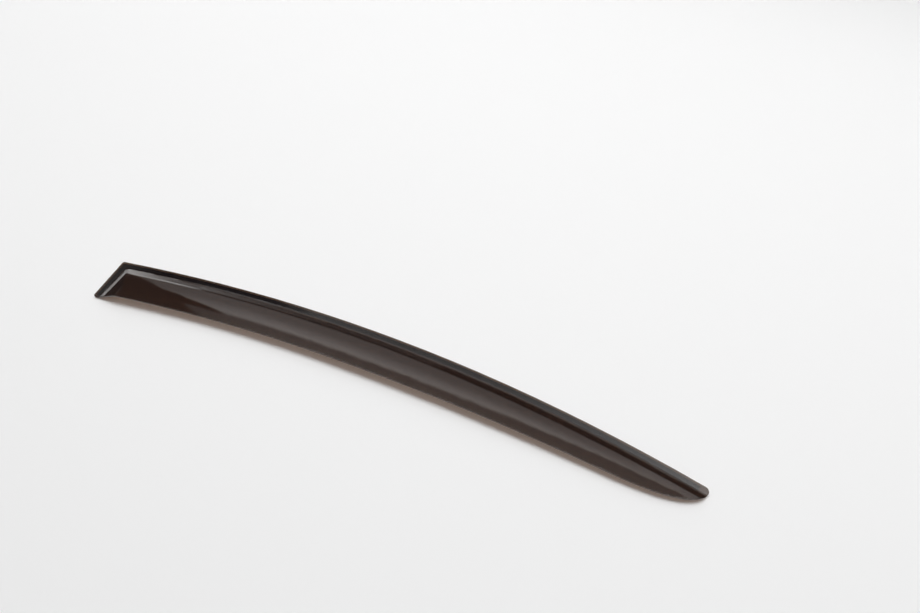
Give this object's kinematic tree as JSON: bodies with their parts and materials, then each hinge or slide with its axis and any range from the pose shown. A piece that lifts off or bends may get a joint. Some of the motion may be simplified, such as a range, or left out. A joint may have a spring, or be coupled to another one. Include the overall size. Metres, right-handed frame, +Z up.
{
  "type": "window rain deflector",
  "caption": "Smoked rain deflector for a car's front side window: an arched, crowned strip with a taped flange, a square wrapped end and a tapered tip.",
  "frame": {"origin": "on the table under the middle of the part's box", "axes": "+X along the length towards the tapered tip, +Y towards the arched top edge, +Z up, away from the glass it is stuck to"},
  "size_m": [0.9012, 0.1131, 0.0173],
  "materials": {
    "smoked_acrylic": "smoked brown, clear and glossy",
    "foam_tape": "matte black foam"
  },
  "bodies": {
    "root": {"deflector_shell": "smoked_acrylic", "upper_tape": "foam_tape", "end_tape": "foam_tape"}
  },
  "joints": []
}
